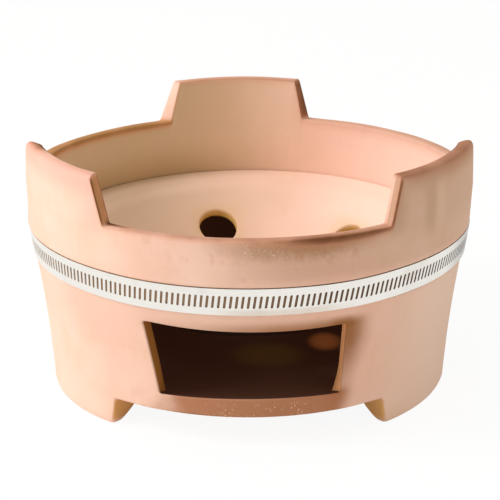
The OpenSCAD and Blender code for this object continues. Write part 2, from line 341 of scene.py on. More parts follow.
# The stations of the wall's section, from the middle of the base out, up, over and down inside
stations = [level(r, base_z) for r in (0, 45, 80, foot_inner_r - 1.6)]
stations += [halfway(under_edge, foot_in, 0.12), foot_in]
foot_first = len(stations)
stations += [at_foot(0, 1, True), at_foot(on_arc, on_arc, True), at_foot(1, 0, True),
             halfway(at_foot(1, 0, True), at_foot(1, 0)), at_foot(1, 0), at_foot(on_arc, on_arc),
             at_foot(0, 1)]
foot_last = len(stations) - 2
stations += [foot_out, halfway(foot_out, outside(above_foot_z)), outside(above_foot_z)]
door_out = len(stations)
stations += [outside(z) for z in door_rows]
stations += [outside(75)]
seat_first = len(stations)
stations += [outside(seat_low[1] - 1.2), level(*seat_low), level(*on_seat(0, 1.2 - seat_half)),
             level(*on_seat(0, 0)), level(*on_seat(0, seat_half - 0.7)), level(*seat_high),
             level(waist_r, seat_high[1] + 0.4), outside(seat_high[1] + 1.4)]
seat_last = len(stations) - 1
stations += [outside(above_strip_z), halfway(outside(above_strip_z), rim_out), rim_out]
rim_first = len(stations)
stations += [at_rim(0, 1), at_rim(on_arc, on_arc), at_rim(1, 0), at_rim(1, 0, True),
             at_rim(on_arc, on_arc, True), at_rim(0, 1, True)]
rim_last = len(stations)
stations += [rim_in, halfway(well_middle, rim_in), well_middle, level(well_r(93), 93),
             level(well_r(86), 86), level(well_low_r, ledge_z + 0.9),
             level(well_low_r - 0.3, ledge_z), level(well_low_r - 2, ledge_z),
             level(ledge_in_r + 1.3, ledge_z), level(ledge_in_r, ledge_z - 0.4),
             level(ledge_in_r + 0.2, ledge_z - 2), inside(72.4)]
door_in = len(stations)
stations += [inside(z) for z in door_rows[:0:-1]]
stations += [level(corner_in_r + 4.33, sill_z), level(corner_in_r + 2.2, floor_z + 0.5)]
stations += [level(r, floor_z) for r in (corner_in_r - 1, 80, 42, 0)]

clay = bmesh.new()
station_mark = clay.verts.layers.int.new("station")
smoke_mark = clay.verts.layers.float.new("smoke")
toast_mark = clay.verts.layers.float.new("toast")
drawn = []
for number, station in enumerate(stations):
    r, azimuth, z = station(plain_column(0, 0))
    vert = clay.verts.new((r, 0, z))
    vert[station_mark] = number
    drawn.append(vert)
section = [clay.edges.new(pair) for pair in zip(drawn, drawn[1:])]
bmesh.ops.spin(clay, geom=drawn + section, cent=(0, 0, 0), axis=(0, 0, 1), angle=math.tau,
               steps=len(columns), use_merge=True)


def near_door(azimuth):
    """1 across the door and 0 some way past its jambs."""
    return soft_step(max(door_left - azimuth, azimuth - door_right), 9, 0)


def spacing_swell(gaps):
    """What the smoothing takes off a ring between points so many degrees apart."""
    return 1 + sum(1 - math.cos(math.radians(gap)) for gap in gaps) / 6


def door_shift(azimuth, z, within):
    """The door was cut freehand: its jambs lean and its sill and head are bowed.

    The left jamb leans as a whole. The right one is wider open at the inner skin of the wall, and
    its lower corner is left full.
    """
    across = near_door(azimuth) * (1 if 23 < z < 76 else 0.3)
    to_right = soft_step(azimuth, door_left, door_right)
    turn = inner_turn * (1 - 2 * soft_step(z, 40, 28)) * to_right if within else 0.0
    bow = math.cos(math.radians(3 * azimuth))
    rise = 0.0
    if abs(z - sill_z) < 0.1:
        rise = across * (1.5 * bow - 0.7)
    if abs(z - lintel_z) < 0.1:
        rise = across * (0.6 - 1.6 * bow - 0.02 * azimuth)
    lean = jamb_lean * (z - door_mid_z) * (1 - to_right)
    return azimuth + (turn - lean) * across, z + rise


# How smoky the edge is at each station round the rim, from the outside to the inside
smoke_on_left_rest = (0.0, 0.1, 0.4, 0.75, 1.0, 1.25, 0.9, 0.1)
smoke_on_right_rest = (0.15, 0.4, 0.65, 0.7, 0.75, 0.9, 0.5, 0.0)
smoke_on_back_rest = (0.0, 0.2, 0.5, 0.5, 0.5, 0.65, 0.35, 0.0)
smoke_on_back_left_rim = (0.0, 0.3, 0.8, 0.85, 0.95, 1.1, 0.8, 0.2)
smoke_on_back_right_rim = (0.0, 0.3, 0.5, 0.5, 0.5, 0.45, 0.4, 0.2)
smoke_on_left_rim = (0.0, 0.2, 0.45, 0.6, 0.6, 0.7, 0.3, 0.0)
smoke_on_right_rim = (0.3, 0.95, 1.25, 0.8, 0.7, 0.7, 0.3, 0.0)
smoke_on_left_cut = (0.0, 0.3, 1.25, 0.8, 0.8, 1.3, 0.6, 0.1)
smoke_on_right_cut = (0.25, 0.9, 0.85, 0.28, 0.22, 0.4, 0.0, 0.0)
smoke_in_left_corner = (0.0, 0.0, 0.0, 0.4, 1.3, 1.6, 1.6, 0.3)
smoke_on_back_left_cut = (0.0, 0.0, 0.1, 0.0, 0.0, 0.7, 0.3, 0.0)
smoke_on_back_right_cut = (0.0, 0.4, 0.9, 1.0, 0.9, 0.8, 0.3, 0.0)


def smoke_at(column, mark):
    """Smoke stain of a point of the mesh, from 0 to about 1."""
    step = mark - rim_first + 1
    azimuth = (column.azimuth + 180) % 360 - 180
    if not 0 <= step < len(smoke_on_left_rim):
        return 0.0
    at_back = abs(azimuth) > 120
    if column.share == 0.5:
        if at_back:
            return (smoke_on_back_left_cut if azimuth < 0 else smoke_on_back_right_cut)[step]
        return (smoke_on_left_cut if azimuth < 0 else smoke_on_right_cut)[step]
    if column.share == 1:
        if at_back:
            return smoke_on_back_rest[step]
        if azimuth > 0:
            return smoke_on_right_rest[step]
        return smoke_on_left_rest[step] * (0.35 + 0.65 * soft_step(azimuth, -60, -73))
    if -35 < azimuth < -31 and step > 2:
        return smoke_in_left_corner[step]
    if abs(azimuth) > 60:
        return (smoke_on_back_left_rim if azimuth < 0 else smoke_on_back_right_rim)[step]
    to_right = soft_step(azimuth, -3, 20)
    at_right = smoke_on_right_rim[step] * (1 - 0.3 * soft_step(azimuth, 24, 33))
    return smoke_on_left_rim[step] * (1 - to_right) + at_right * to_right


def toast_at(column, mark):
    """Olive toasting of the feet's cut ends, the left front cut and the rim behind that rest."""
    azimuth = (column.azimuth + 180) % 360 - 180
    if column.share == 0.5 and foot_first <= mark <= foot_last:
        return 1.0
    if column.share == 0.5 and -60 < azimuth < 0 and rim_first + 2 <= mark <= rim_first + 3:
        return 0.45
    if column.share == 0 and azimuth < -84 and rim_first <= mark < rim_last:
        return 0.45
    return 0.0


# The knife's wobble is drawn from one seed, so that every run cuts the same stove
noise.seed_set(knife_seed)
placed = {}
for vert in clay.verts:
    turn = math.atan2(vert.co.y, vert.co.x) / math.tau * len(columns)
    placed[vert] = (round(turn) % len(columns), vert[station_mark])
for vert, (number, mark) in placed.items():
    column = columns[number]
    before, after = columns[number - 1], columns[(number + 1) % len(columns)]
    r, azimuth, z = stations[mark](column)
    gaps = [(stations[mark](other)[1] - azimuth + 180) % 360 - 180 for other in (before, after)]
    r *= spacing_swell(gaps)
    at_left = soft_step(azimuth, -42, -68) * soft_step(azimuth, -112, -96)
    r -= flat_side * at_left * soft_step(z, 98, 108)
    if r > foot_mid_r:
        over_foot = soft_step(azimuth, -38, -50) * soft_step(azimuth, -80, -66)
        r += foot_bulge * over_foot * soft_step(z, 16, 2)
    in_inner_skin = door_in - 1 <= mark <= door_in + door_steps + 1
    if in_inner_skin or door_out - 1 <= mark <= door_out + door_steps + 2:
        azimuth, z = door_shift(azimuth, z, in_inner_skin)
    if seat_first <= mark <= seat_last:
        z += strip_rise(azimuth, z)
    if mark == door_in + door_steps:
        z -= sill_fall * near_door(azimuth)
    vert.co = polar(r, azimuth, z)
    loose = soft_step(abs(z - strip_z), 11, 17) * (r > 60)
    out = Vector((vert.co.x, vert.co.y, 0)).normalized()
    vert.co += out * hand_wobble * noise.noise(vert.co / hand_wave) * loose
    if rim_first <= mark < rim_last:
        vert.co += noise.noise_vector(vert.co / knife_wave) * knife_wobble
    vert[smoke_mark] = smoke_at(column, mark)
    vert[toast_mark] = toast_at(column, mark)
bmesh.ops.remove_doubles(clay, verts=clay.verts, dist=0.01)


def door_faces(first_row):
    """The faces of one skin of the wall that the door takes out."""
    return [face for face in clay.faces
            if all(v in placed and door_first <= placed[v][0] <= door_last
                   and first_row <= placed[v][1] <= first_row + door_steps for v in face.verts)]


bmesh.ops.delete(clay, geom=door_faces(door_out) + door_faces(door_in), context="FACES")
mouths = [e for e in clay.edges if e.is_boundary]
tunnel = set(bmesh.ops.bridge_loops(clay, edges=mouths)["faces"])
bmesh.ops.recalc_face_normals(clay, faces=clay.faces)
corners = [e for e in clay.edges
           if tunnel.issuperset(e.link_faces) and e.calc_face_angle(0) > corner_angle]
bmesh.ops.bevel(clay, geom=mouths + corners, offset=door_edge, segments=2, profile=0.5,
                affect="EDGES", material=-1, clamp_overlap=True)
bmesh.ops.scale(clay, vec=(MM, MM, MM), verts=clay.verts)
for face in clay.faces:
    face.smooth = True


def finished(name, made, subdivisions=0):
    """An object of the mesh that was made, in the scene, smoothed by that many subdivisions."""
    mesh = bpy.data.meshes.new(name)
    made.to_mesh(mesh)
    made.free()
    piece = bpy.data.objects.new(name, mesh)
    bpy.context.scene.collection.objects.link(piece)
    if subdivisions:
        smoothing = piece.modifiers.new("smoothing", "SUBSURF")
        smoothing.levels = smoothing.render_levels = subdivisions
    return piece


stove = finished("stove_body", clay, 2)


class Wire:
    """A value that runs through a material; arithmetic on wires adds Math nodes."""

    def __init__(self, finish, socket):
        self.finish, self.socket = finish, socket

    def __add__(self, other):
        return self.finish.maths("ADD", self, other)

    def __radd__(self, other):
        return self.finish.maths("ADD", other, self)

    def __sub__(self, other):
        return self.finish.maths("SUBTRACT", self, other)

    def __rsub__(self, other):
        return self.finish.maths("SUBTRACT", other, self)

    def __mul__(self, other):
        return self.finish.maths("MULTIPLY", self, other)

    def __rmul__(self, other):
        return self.finish.maths("MULTIPLY", other, self)

    def __abs__(self):
        return self.finish.maths("ABSOLUTE", self)

    def ramp(self, low, high):
        """Soft step from 0 at low to 1 at high; low may be the larger."""
        down = low > high
        return self.finish.node("MapRange", {"interpolation_type": "SMOOTHSTEP"},
                                {"Value": self,
                                 "From Min": min(low, high),
                                 "From Max": max(low, high),
                                 "To Min": 1.0 if down else 0.0,
                                 "To Max": 0.0 if down else 1.0})


class Finish:
    """A material in the making."""

    def __init__(self, name):
        self.material = bpy.data.materials.new(name)
        self.material.use_nodes = True
        self.nodes = self.material.node_tree.nodes
        self.links = self.material.node_tree.links
        self.surface = self.nodes["Principled BSDF"]
        self.place = self.node("TexCoord", {}, {}, "Object")

    def node(self, kind, settings, values, output=0):
        """Adds a node: its type, its settings, then the values or wires of its sockets."""
        node = self.nodes.new("ShaderNode" + kind)
        for setting, value in settings.items():
            setattr(node, setting, value)
        for name, value in values.items():
            self.give(node.inputs[name], value)
        return Wire(self, node.outputs[output])

    def give(self, socket, value):
        if isinstance(value, Wire):
            self.links.new(value.socket, socket)
        elif socket.type == "RGBA":
            socket.default_value = (*value, 1)
        else:
            socket.default_value = value

    def maths(self, operation, *values):
        return self.node("Math", {"operation": operation}, dict(enumerate(values)))

    def shade(self, **values):
        for name, value in values.items():
            self.give(self.surface.inputs[name.replace("_", " ")], value)

    def noise(self, scale, detail=3.0, rough=0.5, place=None):
        return self.node("TexNoise", {}, {"Vector": place or self.place, "Scale": scale,
                                          "Detail": detail, "Roughness": rough})

    def cells(self, scale):
        """Distance from the middle of the nearest of many small scattered cells."""
        return self.node("TexVoronoi", {"feature": "F1"}, {"Vector": self.place, "Scale": scale},
                         "Distance")

    def mix(self, share, first, second):
        return self.node("Mix", {"data_type": "RGBA"}, {0: share, 6: first, 7: second}, 2)

    def stretched(self, *factors):
        return self.node("Mapping", {}, {"Vector": self.place, "Scale": factors})

    def attribute(self, name):
        return self.node("Attribute", {"attribute_name": name}, {}, "Fac")

    def axis(self, letter):
        """One coordinate of the surface, in millimetres."""
        return self.node("SeparateXYZ", {}, {"Vector": self.place}, letter) * (1 / MM)

    def bumps(self, height, strength, distance):
        return self.node("Bump", {}, {"Height": height, "Strength": strength, "Distance": distance})

    def from_axis(self):
        """Distance of the surface from the stove's upright axis, in millimetres."""
        x, y = self.axis("X"), self.axis("Y")
        return self.maths("SQRT", x * x + y * y)

    def turn(self):
        """Angle of the surface round that axis in radians: 0 in front, more to the right."""
        return self.maths("ARCTAN2", self.axis("X"), self.axis("Y") * -1)

    def dress(self, *pieces):
        for piece in pieces:
            piece.data.materials.clear()
            piece.data.materials.append(self.material)


def tone(red, green, blue):
    """A colour read as on a colour card, 0 to 255, turned into the light that it sends back."""
    shares = [value / 255 for value in (red, green, blue)]
    return tuple(c / 12.92 if c < 0.04045 else ((c + 0.055) / 1.055) ** 2.4 for c in shares)


def clay_grain(finish, pale, rosy, sandy):
    """Colour and fine relief that all the clay shares: cloudy firing, sandy patches and grain."""
    cloud = finish.noise(11, 3)
    patch = finish.noise(46, 4, 0.6)
    fleck = finish.noise(520, 2, 0.7)
    pits = finish.cells(380).ramp(0.16, 0.05)
    colour = finish.mix(cloud.ramp(0.36, 0.66), pale, rosy)
    colour = finish.mix(patch.ramp(0.42, 0.72) * 0.35, colour, sandy)
    colour = finish.mix(fleck.ramp(0.60, 0.78) * 0.12, colour, tone(255, 236, 218))
    relief = (finish.noise(1500, 4, 0.65) + finish.noise(300, 3, 0.6) - pits) * 0.4
    return colour, relief


smoke_brown = tone(150, 104, 54)
smoke_rosy = tone(206, 142, 110)
toasted_left = tone(214, 158, 92)
toasted_right = tone(230, 178, 112)
body_clay = Finish("fired_clay_body")
colour, relief = clay_grain(body_clay, tone(247, 207, 185), tone(242, 194, 172), tone(234, 190, 156))
sideways, towards_back, height = (body_clay.axis(letter) for letter in "XYZ")
azimuth = body_clay.turn() * (180 / math.pi)
from_axis = body_clay.from_axis()
drift = body_clay.noise(30, 3, 0.6) - 0.5
crumble = body_clay.noise(420, 2, 0.6) - 0.5
outer_face = from_axis.ramp(125.4, 126.2)
climb = (height - wall_start_z) * (1 / (seat_low[1] - wall_start_z))
wall_face = climb * (seat_low[0] - foot_r) - climb * (1 - climb) * wall_hollow + foot_r
into_wall = wall_face - from_axis

# Faint marks of the wet hand: level ones all over and upright ones on the wall
level_marks = body_clay.noise(1.0, 3, 0.6, body_clay.stretched(5, 5, 300))
upright_marks = body_clay.noise(1.0, 3, 0.6, body_clay.stretched(110, 110, 4))
colour = body_clay.mix(level_marks.ramp(0.54, 0.75) * 0.05, colour, tone(214, 166, 132))
colour = body_clay.mix(upright_marks.ramp(0.54, 0.75) * 0.06, colour, tone(212, 162, 126))

# The inside wall is painted with shade on its left, sandy brown and darkest low down by the ledge, and
# with paler painted light on its right
inner_wall = from_axis.ramp(124.2, 123.0) * height.ramp(80, 82)
wobbly_side = sideways + drift * 30
colour = body_clay.mix(inner_wall * wobbly_side.ramp(75, -75) * 0.85, colour, tone(207, 185, 145))
painted_low_shade = inner_wall * wobbly_side.ramp(50, -60) * height.ramp(112, 84)
colour = body_clay.mix(painted_low_shade * 0.6, colour, tone(163, 125, 73))
colour = body_clay.mix(inner_wall * sideways.ramp(10, 90) * 0.35, colour, tone(250, 220, 206))

# Smoke that rolled over the rim in front and to the right, and thinned out towards the strip
smoky_front = (azimuth + drift * 16).ramp(-14, 16) * (azimuth + drift * 10).ramp(38, 17)
risen = (height + drift * 7 + crumble * 5).ramp(109, 120) * 0.78 + height.ramp(99, 110) * 0.04
under_rim = smoky_front * risen * height.ramp(122.8, 121.6) * from_axis.ramp(127.5, 128.5)
colour = body_clay.mix(under_rim, colour, smoke_brown)
veil = (azimuth + drift * 16).ramp(-10, 12) * (azimuth.ramp(80, 55) * 0.4 + 0.6) * azimuth.ramp(125, 95)
colour = body_clay.mix(veil * height.ramp(95, 103) * outer_face * 0.27, colour, tone(166, 130, 86))
blotch = body_clay.noise(130, 2, 0.5).ramp(0.58, 0.72) * azimuth.ramp(-32, -20) * azimuth.ramp(36, 24)
colour = body_clay.mix(blotch * height.ramp(98, 102) * outer_face * 0.2, colour, tone(198, 126, 94))
beside_cut = azimuth.ramp(43, 37) * azimuth.ramp(32, 37) * height.ramp(112, 124)
colour = body_clay.mix(beside_cut * outer_face * 0.35, colour, tone(150, 104, 66))
right_rest = azimuth.ramp(36, 44) * azimuth.ramp(125, 95) * outer_face
upright = height.ramp(106, 122) * height.ramp(146, 134)
# On the right rest an upright streak is painted: a band of painted shade, with a band of painted light
# beside it, over the smoke along its crest
swayed = azimuth + drift * 3
painted_streak_shade = abs(swayed - 48.8).ramp(4.2, 0.4) * upright
rest_smoke_and_shade = height.ramp(104, 124) * 0.12 + height.ramp(136, 149) * 0.42 + painted_streak_shade * 0.22
colour = body_clay.mix(right_rest * rest_smoke_and_shade, colour, tone(164, 122, 84))
painted_streak_light = abs(swayed - 53.6).ramp(3.5, 0.8) * upright
colour = body_clay.mix(painted_streak_light * right_rest * 0.25, colour, tone(236, 206, 178))

# The left rest is rosy along its crest and its cut edge
beside_left_cut = azimuth.ramp(-47, -38) * height.ramp(112, 124) * height.ramp(148, 131)
crest = height.ramp(131, 148) + beside_left_cut * 0.6
left_rest = azimuth.ramp(-36, -38.5) * azimuth.ramp(-125, -95) * outer_face
colour = body_clay.mix(crest * left_rest * 0.55, colour, tone(236, 167, 150))

# The lower wall dried paler and greyer on the right
dried = azimuth.ramp(28, 62) * azimuth.ramp(165, 110) * height.ramp(84, 76)
colour = body_clay.mix(dried * 0.85, colour, tone(249, 218, 198))

# Brown halo round the door, strongest to its right and over its right half
beside_door = (azimuth + drift * 4 + height.ramp(62, 32) * 3.5).ramp(34, 26) * azimuth.ramp(19, 23)
beside_door = beside_door * (height + drift * 10).ramp(16, 26) * height.ramp(77, 70)
beside_door = beside_door * (height.ramp(30, 64) * 0.45 + 0.55)
above_door = (azimuth + drift * 14).ramp(-34, 22) * azimuth.ramp(28, 25)
above_door = above_door * height.ramp(67, 69) * height.ramp(77, 70)
along_head = azimuth.ramp(-30, -22) * azimuth.ramp(26, 20)
along_head = along_head * height.ramp(67, 69) * height.ramp(80, 72)
below_door = (azimuth + drift * 30).ramp(-33, -18) * (azimuth + drift * 6).ramp(28.5, 23)
below_door = below_door * height.ramp(34, 27)
at_skin = into_wall.ramp(2.4, 1.2) * height.ramp(79.6, 78)
head_smoke = (above_door * 0.9 + along_head * 0.12) * at_skin
colour = body_clay.mix(head_smoke, colour, tone(172, 118, 78))
colour = body_clay.mix(beside_door * at_skin * 0.95, colour, tone(156, 100, 56))
colour = body_clay.mix(below_door * at_skin * 0.9, colour, tone(176, 114, 76))

# Light gritty grains that stand out of the smoke under the rim and below the door
grit_place = (azimuth.ramp(-16, -6) * azimuth.ramp(22, 10) * height.ramp(27, 24)
              + azimuth.ramp(-34, -24) * azimuth.ramp(16, 4) * height.ramp(106, 116) * 0.8)
grit = body_clay.cells(700).ramp(0.36, 0.16) * body_clay.noise(150, 3).ramp(0.42, 0.56) * grit_place
colour = body_clay.mix(grit * 0.75, colour, tone(252, 214, 184))

# Stained edges and cut faces, the jambs of the door and the sooty ash chamber
smoke = body_clay.attribute("smoke") * (0.9 + drift * 0.8)
toast = body_clay.attribute("toast")
to_right = sideways.ramp(-20, 20)
smoked = body_clay.mix(smoke.ramp(0.3, 1.15), smoke_rosy, tone(106, 64, 30))
colour = body_clay.mix(smoke.ramp(0, 0.85), colour, smoked)
toasted = body_clay.mix(to_right, toasted_left, toasted_right)
colour = body_clay.mix(toast * (0.95 + drift * 0.3), colour, toasted)
jambs = into_wall.ramp(0.5, 1.5) * height.ramp(24, 26) * height.ramp(76, 74)
jamb_tint = body_clay.mix(to_right, tone(166, 106, 46), tone(250, 180, 124))
colour = body_clay.mix(jambs, colour, jamb_tint)
# The clay under the strip is painted with shade, as the slots and the thin gaps along the strip's edges
# show it: lighter on the left and darker on the right
under_strip = height.ramp(80.0, 80.6) * height.ramp(98.8, 98.2)
under_strip = under_strip * from_axis.ramp(129.35, 129.0) * from_axis.ramp(124, 125.5)
painted_slot_shade = body_clay.mix(azimuth.ramp(-40, 40), tone(160, 128, 98), tone(92, 68, 46))
colour = body_clay.mix(under_strip * 0.9, colour, painted_slot_shade)
chamber = into_wall.ramp(7.4, 8.6) * height.ramp(18, 22) * height.ramp(80, 77)
sill_bow = body_clay.maths("COSINE", azimuth * (math.pi / 60)) * 1.5
sill_top = sill_bow + 27.4 - into_wall * (sill_fall / wall_t)
sill = (height - sill_top).ramp(1.1, 0.5) * height.ramp(24.2, 25.0) * into_wall.ramp(0.9, 1.8)
soot = body_clay.maths("MAXIMUM", chamber, sill)
colour = body_clay.mix(soot * 0.98, colour, tone(54, 28, 14))


def painted_light_pool(x, y, reach_x, reach_y):
    """A painted pool of light on the sooty floor, where daylight through an air hole would lie dimly."""
    across = (sideways - x) * (1 / reach_x)
    deep = (towards_back - y) * (1 / reach_y)
    return (across * across + deep * deep).ramp(1, 0)


# The chamber glows dimly with painted light, brighter in two painted pools on its floor under the air
# holes
painted_chamber_light = body_clay.mix(painted_light_pool(45, -28, 12, 17), tone(34, 15, 8), tone(92, 48, 21))
painted_chamber_light = body_clay.mix(painted_light_pool(11, -48, 26, 22) * 0.6, painted_chamber_light, tone(54, 34, 9))
painted_chamber_light = body_clay.mix(height.ramp(31, 28), tone(30, 13, 7), painted_chamber_light)
painted_chamber_light = body_clay.mix(soot, (0, 0, 0), painted_chamber_light)
relief = relief + grit * 0.9 + upright_marks * 0.2 + level_marks * 0.2
body_clay.shade(Base_Color=colour, Roughness=0.93, Specular_IOR_Level=0.22, Emission_Color=painted_chamber_light,
                Emission_Strength=1.0, Normal=body_clay.bumps(relief, 0.35, 0.0006))
body_clay.dress(stove)
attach(stove, "stove")
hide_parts("clay_body")

# ---- Fire bowl -------------------------------------------------
# A loose dish of the same clay, thrown and fired on its own, that holds the charcoal. It drops
# into the well and rests on the ledge; six round air holes pierce its side and one its floor.

bowl_start = 14.0
bowl_columns = 48
hole_count = 6
hole_r = 12.0
hole_lean = math.radians(22)
side_slope = math.radians(38)
bowl_t = 6.5
bowl_edge_r = 120.98
bowl_edge_z = 87.7
bowl_seat_z = 81.2
lip_r = 106.38
lip_z = 82.39
bowl_floor_z = 50.7
bowl_under_z = bowl_floor_z - bowl_t
bowl_floor_r = lip_r - (lip_z - bowl_floor_z) / math.tan(side_slope)
side_drop = bowl_t / math.cos(side_slope)
hole_ring_r = 80.9
lean_over_side = math.cos(hole_lean) + math.sin(hole_lean) * math.tan(side_slope)
hole_slip = side_drop * math.sin(hole_lean) / lean_over_side
mouth_edge = 1.5
mouth_scorch = 0.85
mouth_toast = 0.15

# What the smoothing takes off a ring of eight points, given back to the eight round each hole
octagon_swell = 1 / (1 - (1 - math.cos(math.tau / 8)) / 3)

# One hole was pierced a little farther round than its place in the ring, and smaller
odd_hole = 2
odd_turn = -3.0
odd_share = 0.88


def side_z(r, drop=0.0):
    """Height of the dish's sloping side, or of a surface that lies so far under it."""
    return lip_z - (lip_r - r) * math.tan(side_slope) - drop


def under_row(r):
    """A point of the section on the outside of the sloping side."""
    return (r, side_z(r, side_drop))


under_floor_r = lip_r - (lip_z - side_drop - bowl_under_z) / math.tan(side_slope)
half_hole = hole_r * octagon_swell
bowl_section = [
    (hole_r, bowl_under_z + 1.6), (hole_r, bowl_floor_z - 1.6), (hole_r + 0.5, bowl_floor_z - 0.4),
    (hole_r + 2, bowl_floor_z), (30, bowl_floor_z), (50, bowl_floor_z),
    (bowl_floor_r - 2, bowl_floor_z + 0.1), (bowl_floor_r + 1.5, side_z(bowl_floor_r + 1.5) + 0.3)]
hole_rows_top = len(bowl_section)
hole_rows = (hole_ring_r - 10.4, hole_ring_r, hole_ring_r + 10.4)
bowl_section += [(r, side_z(r)) for r in hole_rows]
seat_row = len(bowl_section) + 9
bowl_section += [(98, side_z(98)), (lip_r - 3, side_z(lip_r - 3) + 0.1), (lip_r, lip_z + 0.1),
                 (lip_r + 3.5, lip_z + 1.35), (115, bowl_edge_z - 2.2),
                 (bowl_edge_r - 1.6, bowl_edge_z - 0.3), (bowl_edge_r - 0.3, bowl_edge_z - 0.4),
                 (bowl_edge_r, bowl_edge_z - 1.8), (bowl_edge_r - 0.2, bowl_seat_z + 1),
                 (bowl_edge_r - 0.6, bowl_seat_z), (117, bowl_seat_z), (113.6, bowl_seat_z),
                 (112.2, bowl_seat_z - 1.4), under_row(108.5), under_row(102)]
hole_rows_under = len(bowl_section)
bowl_section += [under_row(r + hole_slip) for r in hole_rows[::-1]]
bowl_section += [under_row(under_floor_r + 1.4), (under_floor_r - 1.5, bowl_under_z), (45, bowl_under_z),
                 (28, bowl_under_z), (hole_r + 2, bowl_under_z), (hole_r + 0.5, bowl_under_z + 0.4)]

bowl = bmesh.new()
row_mark = bowl.verts.layers.int.new("row")
scorch_mark = bowl.verts.layers.float.new("scorched")
drawn = []
for number, (r, z) in enumerate(bowl_section):
    vert = bowl.verts.new((r, 0, z))
    vert[row_mark] = number
    drawn.append(vert)
section = [bowl.edges.new((drawn[i - 1], drawn[i])) for i in range(len(drawn))]
bmesh.ops.spin(bowl, geom=drawn + section, cent=(0, 0, 0), axis=(0, 0, 1), angle=math.tau,
               steps=bowl_columns, use_merge=True)
pierced = []
columns_per_hole = bowl_columns // hole_count
for vert in bowl.verts:
    turn = round(math.atan2(vert.co.y, vert.co.x) / math.tau * bowl_columns) % bowl_columns
    across_hole = (turn + 1) % columns_per_hole - 1
    row = vert[row_mark]
    on_top = hole_rows_top <= row <= hole_rows_top + 2
    below = hole_rows_under <= row <= hole_rows_under + 2
    swell = spacing_swell((360 / bowl_columns,) * 2)
    r = math.hypot(vert.co.x, vert.co.y) * swell
    azimuth_here = bowl_start + 360 * turn / bowl_columns
    z = vert.co.z
    if abs(across_hole) <= 1 and (on_top or below):
        step_out = (row - hole_rows_top - 1) if on_top else (hole_rows_under + 1 - row)
        if across_hole == 0 and step_out == 0:
            pierced.append(vert)
        else:
            angle = math.atan2(across_hole, step_out)
            odd = (turn + 1) // columns_per_hole % hole_count == odd_hole
            size = half_hole * (odd_share if odd else 1)
            slip = hole_slip if below else 0
            out = size / math.cos(side_slope - hole_lean) * math.cos(side_slope) * math.cos(angle)
            out += hole_ring_r + slip
            along = size * math.sin(angle)
            r = math.hypot(out, along)
            azimuth_here += math.degrees(math.atan2(along, out)) - 360 / bowl_columns * across_hole
            azimuth_here += odd_turn if odd else 0
            z = side_z(r, side_drop if below else 0)
    vert.co = polar(r, azimuth_here, z)
    vert.co += Vector((0, 0, 0.25 * noise.noise(vert.co / 30))) * (r < 100)
    vert[scorch_mark] = 1.0 if row >= seat_row else 0.0
bmesh.ops.delete(bowl, geom=pierced, context="VERTS")
for number in range(hole_count):
    centre = polar(hole_ring_r, bowl_start + number * 360 / hole_count, 60)
    mouths = [e for e in bowl.edges if e.is_boundary and (e.verts[0].co - centre).length < 30]
    for vert in {v for e in mouths for v in e.verts}:
        vert[scorch_mark] = mouth_scorch if vert[scorch_mark] else mouth_toast
    bmesh.ops.bridge_loops(bowl, edges=mouths)
    bmesh.ops.recalc_face_normals(bowl, faces=bowl.faces)
    bmesh.ops.bevel(bowl, geom=mouths, offset=mouth_edge, segments=2, profile=0.5, affect="EDGES",
                    material=-1, clamp_overlap=True)
bmesh.ops.recalc_face_normals(bowl, faces=bowl.faces)
bmesh.ops.scale(bowl, vec=(MM, MM, MM), verts=bowl.verts)
for face in bowl.faces:
    face.smooth = True
dish = finished("fire_dish", bowl, 2)

bowl_clay = Finish("fired_clay_bowl")
colour, relief = clay_grain(bowl_clay, tone(246, 209, 186), tone(242, 200, 177), tone(235, 196, 164))
from_axis = bowl_clay.from_axis()
sideways = bowl_clay.axis("X") + (bowl_clay.noise(30, 3, 0.6) - 0.5) * 40
# The dish is painted with shade on its left, darkest on its steep side and in a ring by its outer edge
# against the wall, and with painted light on its right
left = sideways.ramp(50, -80)
colour = bowl_clay.mix(left * 0.4, colour, tone(232, 211, 178))
colour = bowl_clay.mix(sideways.ramp(10, 80) * 0.6, colour, tone(252, 226, 208))
painted_side_shade = from_axis.ramp(107, 100) * sideways.ramp(30, -40)
colour = bowl_clay.mix(painted_side_shade * 0.5, colour, tone(216, 184, 154))
colour = bowl_clay.mix(from_axis.ramp(112, 121) * left * 0.7, colour, tone(164, 128, 84))
scorched = bowl_clay.attribute("scorched")
colour = bowl_clay.mix(scorched.ramp(0, 0.45), colour, tone(224, 180, 98))
colour = bowl_clay.mix(scorched.ramp(0.62, 0.84), colour, tone(64, 34, 20))
bowl_clay.shade(Base_Color=colour, Roughness=0.92, Specular_IOR_Level=0.25,
                Normal=bowl_clay.bumps(relief, 0.3, 0.0005))
bowl_clay.dress(dish)
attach(dish, "grate")
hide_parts("fire_bowl")

# ---- Clamp strip -----------------------------------------------
# Thin stainless strip with slanted slots punched along its whole length, rolled round the waist
# of the clay. The worm at the back draws its free end over the first turn and grips the clay.


